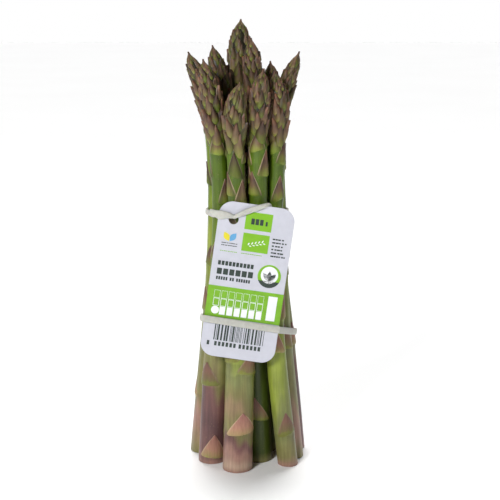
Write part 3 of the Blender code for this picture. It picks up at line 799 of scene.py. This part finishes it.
class Card:
    """The CAD tag's own plane: X across it, Y up it, Z out of its front. Its printed layout
    is given in millimetres from its lower left corner."""

    def __init__(self, node):
        points = np.unique(
            np.round([v.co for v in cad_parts[node].data.vertices], 7), axis=0
        )
        centred = points - points.mean(axis=0)
        rough = np.linalg.svd(centred, full_matrices=False)[2]
        flat = centred @ rough[:2].T
        rim = flat[geometry.convex_hull_2d([tuple(p) for p in flat])]
        on_rim = np.array([np.abs(rim - p).sum(axis=1).min() for p in flat]) < 1e-5
        # The longest straight edge is one of the card's long sides, so it runs up the card.
        sides = np.roll(rim, -1, axis=0) - rim
        long_side = sides[np.linalg.norm(sides, axis=1).argmax()]
        up = Vector(long_side @ rough[:2]).normalized()
        self.up = up if up.z > 0 else -up
        out = Vector(rough[2])
        self.out = out if out.y < 0 else -out
        self.across = self.up.cross(self.out)
        reaches = [
            [Vector(p) @ axis for p in points] for axis in (self.across, self.up, self.out)
        ]
        self.width, self.length, self.thickness = (max(reach) - min(reach) for reach in reaches)
        halfway = [(min(reach) + max(reach)) / 2 for reach in reaches]
        self.middle = self.across * halfway[0] + self.up * halfway[1] + self.out * halfway[2]
        # Only the hole's points lie inside the rim.
        hole = [self.flat(Vector(p)) for p in points[~on_rim]]
        self.hole = sum(hole, Vector((0, 0))) / len(hole)
        self.hole_radius = (hole[0] - self.hole).length
        # The corners take what the top edge's straight part leaves of the width.
        spots = [self.flat(Vector(p)) for p in points]
        self.corner = self.width / 2 - max(
            abs(p.x) for p in spots if p.y > self.length / 2 - 0.02 * MM
        )

    def flat(self, point):
        """Where a point is across and up the card, from its middle."""
        away = point - self.middle
        return Vector((away @ self.across, away @ self.up))

    def place(self, x, y, out):
        """A point on the card, from its middle."""
        return self.middle + self.across * x + self.up * y + self.out * out

    def measure(self, point):
        """Where a point is, in the print's millimetres and those out of the card's front."""
        place = self.flat(point)
        out = (point - self.middle) @ self.out - self.thickness / 2
        return (place.x + self.width / 2) / MM, (place.y + self.length / 2) / MM, out / MM

    def printed(self, x, y, out):
        """A point of the print, in millimetres from the lower left corner."""
        return self.place(x * MM - self.width / 2, y * MM - self.length / 2, out)


def rounded_outline(width, length, corner, steps):
    """Points round a rectangle with rounded corners, about its middle."""
    for quarter, (x, y) in enumerate(((1, 1), (-1, 1), (-1, -1), (1, -1))):
        for step in range(steps + 1):
            angle = math.pi / 2 * (quarter + step / steps)
            yield (
                x * (width / 2 - corner) + corner * math.cos(angle),
                y * (length / 2 - corner) + corner * math.sin(angle),
            )


def card_piece(card, material):
    """The blank card, with softened edges and its punched hole."""
    corner_steps, hole_steps, soft = 14, 48, 0.09 * MM
    outline = list(rounded_outline(card.width, card.length, card.corner, corner_steps))
    hole = [
        card.hole + card.hole_radius * Vector((math.cos(a), math.sin(a)))
        for a in (2 * math.pi * k / hole_steps for k in range(hole_steps))
    ]
    bm = bmesh.new()
    edges = []
    for loop in (outline, hole):
        verts = [bm.verts.new(card.place(x, y, -card.thickness / 2)) for x, y in loop]
        edges += [bm.edges.new(pair) for pair in zip(verts, verts[1:] + verts[:1], strict=True)]
    bmesh.ops.triangle_fill(bm, use_beauty=True, edges=edges)
    bmesh.ops.recalc_face_normals(bm, faces=bm.faces)
    lifted = bmesh.ops.extrude_face_region(bm, geom=list(bm.faces))["geom"]
    raised = [item for item in lifted if isinstance(item, bmesh.types.BMVert)]
    bmesh.ops.translate(bm, vec=card.out * card.thickness, verts=raised)
    bmesh.ops.recalc_face_normals(bm, faces=bm.faces)
    mesh = bpy.data.meshes.new("tag_card")
    bm.to_mesh(mesh)
    bm.free()
    made = bpy.data.objects.new("tag_card", mesh)
    bpy.context.scene.collection.objects.link(made)
    edge = made.modifiers.new("soft_edge", "BEVEL")
    edge.width, edge.segments, edge.limit_method = soft, 2, "ANGLE"
    return adopt(made, material, "tag")


# How deep the print reaches into the card, and how far its two layers stand above it.
PRINT_SUNK = 0.02 * MM
PRINT_LOW = 0.03 * MM
PRINT_HIGH = 0.05 * MM
PRINT_SEED = 7


class Ink:
    """Print of one colour: flat closed prisms that stand a hair above the card."""

    def __init__(self, card, height):
        self.card, self.height = card, height
        self.points, self.faces = [], []

    def shape(self, outline):
        """A prism over any flat outline, in the print's millimetres."""
        start, count = len(self.points), len(outline)
        low = self.card.thickness / 2 - PRINT_SUNK
        high = self.card.thickness / 2 + self.height
        for out in (low, high):
            self.points += [self.card.printed(x, y, out) for x, y in outline]
        self.faces.append(tuple(range(start, start + count)))
        self.faces.append(tuple(range(start + count, start + 2 * count)))
        self.faces += [
            (start + k, start + (k + 1) % count, start + count + (k + 1) % count, start + count + k)
            for k in range(count)
        ]

    def box(self, x, y, width, height):
        self.shape([(x, y), (x + width, y), (x + width, y + height), (x, y + height)])

    def disc(self, x, y, radius, steps=32):
        angles = [2 * math.pi * k / steps for k in range(steps)]
        self.shape([(x + radius * math.cos(a), y + radius * math.sin(a)) for a in angles])

    def leaf(self, x, y, length, width, tilt):
        """A plain pointed leaf that grows from (x, y) in the direction of tilt."""
        outline = []
        for side in (1, -1):
            for k in range(10):
                along = k / 10 if side == 1 else 1 - k / 10
                half = side * width / 2 * math.sin(math.pi * along)
                outline.append((
                    x + along * length * math.cos(tilt) - half * math.sin(tilt),
                    y + along * length * math.sin(tilt) + half * math.cos(tilt),
                ))
        self.shape(outline)

    def words(self, x, y, width, height, chance, mean):
        """A line of plain blocks that stand for words, up to width."""
        place = x
        while place < x + width - 0.3 * mean:
            block = min(chance.uniform(0.6, 1.3) * mean, x + width - place)
            self.box(place, y, block, height)
            place += block + 0.28 * height + chance.choice((0, 0, 0.5)) * height

    def finish(self, name, material):
        return new_piece(name, self.points, self.faces, material, "tag")


def print_tag(card):
    """Plain panels, blocks and bars where a real tag has its print. It says nothing. The
    layout is in millimetres from the card's lower left corner."""
    width = card.width / MM
    chance = random.Random(PRINT_SEED)
    panel, block, sun, sky = (Ink(card, PRINT_LOW) for _ in range(4))
    dark, white = (Ink(card, PRINT_HIGH) for _ in range(2))
    # Two green panels at the top right, one with blocks for a weight and one with a sprig.
    panel.box(13.7, 66.5, 13.5, 9.0)
    for x, wide, tall in ((16.7, 1.7, 3.0), (18.9, 1.7, 3.0), (21.1, 1.7, 3.0), (24.0, 1.0, 2.2)):
        dark.box(x, 69.3, wide, tall)
    panel.box(13.7, 55.5, 13.3, 9.2)
    for k in range(5):
        white.leaf(16.6 + 1.7 * k, 58.6 + 0.5 * k, 1.6, 0.6, math.radians(62))
        white.leaf(17.1 + 1.7 * k, 58.4 + 0.5 * k, 1.5, 0.5, math.radians(-8))
    # A pair of leaves at the left, with small lines below it and the lower panel.
    sun.leaf(7.0, 59.4, 5.2, 3.0, math.radians(124))
    sky.leaf(7.3, 59.4, 5.2, 3.0, math.radians(56))
    for y in (58.1, 56.9):
        dark.words(3.4, y, 8.0, 0.4, chance, 0.9)
    for x, wide in ((3.2, 8.6), (13.8, 10.6)):
        panel.words(x, 54.0, wide, 0.35, chance, 0.9)
    # Small lines at the right edge.
    for k in range(6):
        dark.words(28.6, 63.0 - 1.72 * k, chance.uniform(5.5, 7.6), 0.72, chance, 1.3)
    # The headline, in three lines.
    for x, y, tall, pitch, bar, gaps in (
        (3.1, 46.9, 2.2, 1.84, 1.42, (10,)), (3.1, 42.2, 3.1, 3.15, 2.5, (6,)),
        (3.1, 39.4, 1.7, 1.22, 0.9, (5, 2, 6)),
    ):
        for group in gaps:
            for _ in range(group):
                dark.box(x, y, bar, tall)
                x += pitch
            x += pitch * 0.7
    # A round mark: a green disc with a pale one in it, a dark foot and a dark sprout.
    mark_x, mark_y, mark = 29.6, 44.4, 5.9
    panel.disc(mark_x, mark_y, mark, 48)
    white.disc(mark_x, mark_y + 0.6, mark * 0.74, 40)
    foot = [math.radians(205 + 130 * k / 20) for k in range(21)]
    dark.shape([(mark_x + mark * math.cos(a), mark_y + mark * math.sin(a)) for a in foot])
    for tilt in (50, 90, 130):
        dark.leaf(mark_x, mark_y - 2.4, 5.0, 2.2, math.radians(tilt))
    # A green block across the whole card, with a row of frames in thin lines, one in thicker
    # ones, a row of white blocks that starts with a disc, and one tall block.
    block.box(0.0, 20.2, width, 16.0)
    wide, tall = 3.0, 3.9
    for y, stroke in ((30.1, 0.12), (26.0, 0.24), (21.7, 0)):
        for k in range(7):
            x = 3.4 + 3.7 * k
            if stroke:
                for low in (0, tall - stroke):
                    white.box(x, y + low, wide, stroke)
                for left in (0, wide - stroke):
                    white.box(x + left, y + stroke, stroke, tall - 2 * stroke)
            elif k == 0:
                white.disc(x + 1.5, y + 2.1, 2.0)
            else:
                white.box(x, y, 2.9, 4.1)
    white.box(30.8, 21.9, 4.6, 12.5)
    # Bars and the dashes below them.
    x = 6.1
    while x < 31.2:
        bar = chance.choice((0.3, 0.3, 0.6, 0.9))
        dark.box(x, 8.5, bar, 8.9)
        x += bar + chance.choice((0.3, 0.3, 0.5, 0.8))
    for x in (3.1, *(6.9 + 1.95 * k for k in range(6)), *(19.4 + 1.95 * k for k in range(6))):
        dark.box(x, 5.6, 1.25, 2.2)
    panel.finish("tag_print_panels", card_material("ink_green", srgb(118, 173, 20)))
    block.finish("tag_print_block", card_material("ink_block", srgb(112, 166, 22), 0.08))
    dark.finish("tag_print_dark", card_material("ink_dark", srgb(38, 52, 46), 0.1))
    white.finish("tag_print_white", card_material("ink_white", srgb(228, 230, 232)))
    sun.finish("tag_print_yellow", card_material("ink_yellow", srgb(214, 200, 40)))
    sky.finish("tag_print_blue", card_material("ink_blue", srgb(92, 156, 200)))


# --------------------------------------------------------------------- camera and studio

CAMERA_ELEVATION = math.radians(12.0)
CAMERA_DISTANCE = 0.620
CAMERA_LENS = 85.5
CAMERA_AIM = Vector((0.0012, 0.0, 0.112))
SENSOR_WIDTH = 36.0
KEY_PLACE = (-0.42, -0.78, 0.52)
KEY_AIM = (0, 0, 0.12)
KEY_SIZE = 0.2
KEY_ENERGY = 7.2
OVERHEAD_ENERGY = 3.0
OVERHEAD_SOFTNESS = math.radians(30)
OVERHEAD_TILT = math.radians(-20)
FLOOR_HALF = 6.0
# The room's light: (height of the direction, grey), and how strong it is in front and behind.
ROOM_GREYS = ((0.08, 1.0), (0.3, 0.16))
ROOM_FRONT, ROOM_BACK = 0.12, 1.0


def make_camera():
    """The camera, in front of the bundle and looking a little down on it."""
    data = bpy.data.cameras.new("camera")
    data.lens, data.sensor_width = CAMERA_LENS, SENSOR_WIDTH
    camera = bpy.data.objects.new("camera", data)
    back = Vector((0, -math.cos(CAMERA_ELEVATION), math.sin(CAMERA_ELEVATION)))
    camera.location = CAMERA_AIM + back * CAMERA_DISTANCE
    camera.rotation_euler = (math.pi / 2 - CAMERA_ELEVATION, 0, 0)
    bpy.context.scene.collection.objects.link(camera)
    bpy.context.scene.camera = camera


def make_room():
    """Light from all round: white at the horizon and greyer overhead, so that the sides of
    round things fall off, and dimmer in front than behind, so that the key light models."""
    world = bpy.data.worlds.new("studio")
    world.use_nodes = True
    tree = world.node_tree
    background = tree.nodes["Background"]
    place = tree.nodes.new("ShaderNodeTexCoord")
    height = tree.nodes.new("ShaderNodeSeparateXYZ")
    sky = tree.nodes.new("ShaderNodeValToRGB")
    for element, (position, grey) in zip(sky.color_ramp.elements, ROOM_GREYS, strict=True):
        element.position, element.color = position, (grey, grey, grey, 1)
    tree.links.new(place.outputs["Generated"], height.inputs["Vector"])
    tree.links.new(height.outputs["Z"], sky.inputs["Fac"])
    tree.links.new(sky.outputs["Color"], background.inputs["Color"])
    strength = tree.nodes.new("ShaderNodeMapRange")
    for key, value in (
        ("From Min", -0.5), ("From Max", 0.5), ("To Min", ROOM_FRONT), ("To Max", ROOM_BACK),
    ):
        strength.inputs[key].default_value = value
    tree.links.new(height.outputs["Y"], strength.inputs["Value"])
    tree.links.new(strength.outputs["Result"], background.inputs["Strength"])
    bpy.context.scene.world = world
    bpy.context.scene.view_settings.view_transform = "Standard"


def make_lights():
    """A key light at the upper left, and a soft light from above and behind."""
    data = bpy.data.lights.new("key", "AREA")
    data.size, data.energy = KEY_SIZE, KEY_ENERGY
    key = bpy.data.objects.new("key", data)
    key.location = KEY_PLACE
    key.rotation_euler = (Vector(KEY_PLACE) - Vector(KEY_AIM)).to_track_quat("Z", "Y").to_euler()
    data = bpy.data.lights.new("overhead", "SUN")
    data.energy, data.angle = OVERHEAD_ENERGY, OVERHEAD_SOFTNESS
    overhead = bpy.data.objects.new("overhead", data)
    overhead.rotation_euler = (OVERHEAD_TILT, 0, 0)
    for light in (key, overhead):
        bpy.context.scene.collection.objects.link(light)


def make_floor():
    """A plain white floor, which rides on no body of the part."""
    mesh = bpy.data.meshes.new("floor")
    corners = [(x * FLOOR_HALF, y * FLOOR_HALF, 0) for x, y in ((-1, -1), (1, -1), (1, 1), (-1, 1))]
    mesh.from_pydata(corners, [], [(0, 1, 2, 3)])
    mesh.materials.append(floor_material())
    floor = bpy.data.objects.new("floor", mesh)
    bpy.context.scene.collection.objects.link(floor)


# ---------------------------------------------------------------------------------- main

# Each spear's number is its stem's seed, and its leaves' seed is this much higher.
LEAF_SEEDS = 100

make_camera()
make_room()
make_lights()
make_floor()
skin, leaf = stem_material(), scale_material()
for number, (spear, (spear_coat, freshness)) in enumerate(SPEARS.items(), 1):
    spear_course = Course(spear)
    stem(spear, spear_course, spear_coat, skin, number)
    scale_leaves(spear, spear_course, freshness, leaf, number + LEAF_SEEDS)
rubber = rubber_material()
tag = Card("tag")
smooth_band("lower_band", rubber)
smooth_band("upper_band", rubber, tag)
for number, knots in enumerate(STRANDS, 1):
    new_piece(f"upper_band_strand_{number}", *strand(tag, knots), rubber, "band")
card_piece(tag, card_material("tag_card", srgb(190, 191, 201)))
print_tag(tag)
